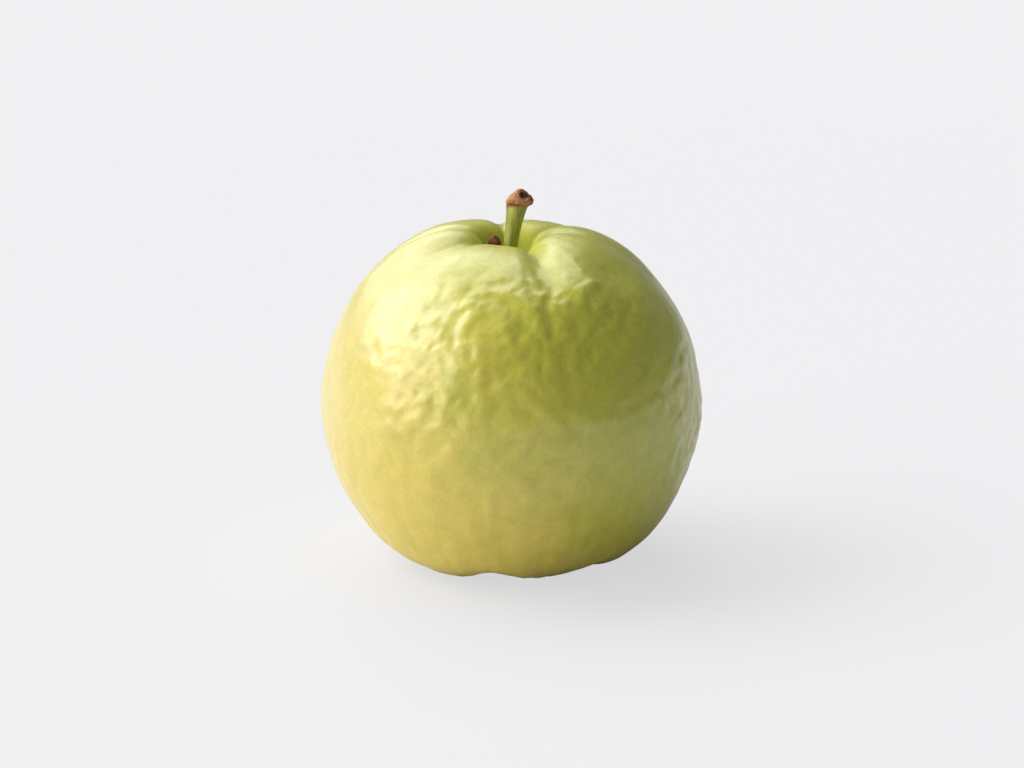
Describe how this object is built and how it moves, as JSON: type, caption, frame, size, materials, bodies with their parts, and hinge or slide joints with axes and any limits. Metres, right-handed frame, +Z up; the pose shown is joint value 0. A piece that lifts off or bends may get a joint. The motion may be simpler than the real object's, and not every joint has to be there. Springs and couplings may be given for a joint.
{
  "type": "guava",
  "caption": "Round pale green guava with lobed shoulders, a short leaning stalk and a dried calyx crown underneath.",
  "frame": {"origin": "on the surface that the fruit stands on, under the middle of its outline", "axes": "+Z up along the stalk's side of the fruit, -Y towards the viewer, +X to the viewer's right"},
  "size_m": [0.0896, 0.0896, 0.0884],
  "materials": {
    "guava_skin": "waxy, dimpled",
    "green_stalk": "young bark, matt",
    "dried_scale": "dried, matt",
    "dried_calyx": "dried, matt"
  },
  "bodies": {
    "root": {"fruit": "guava_skin", "stalk": "green_stalk", "bracteole": "dried_scale", "calyx": "dried_calyx"}
  },
  "joints": []
}
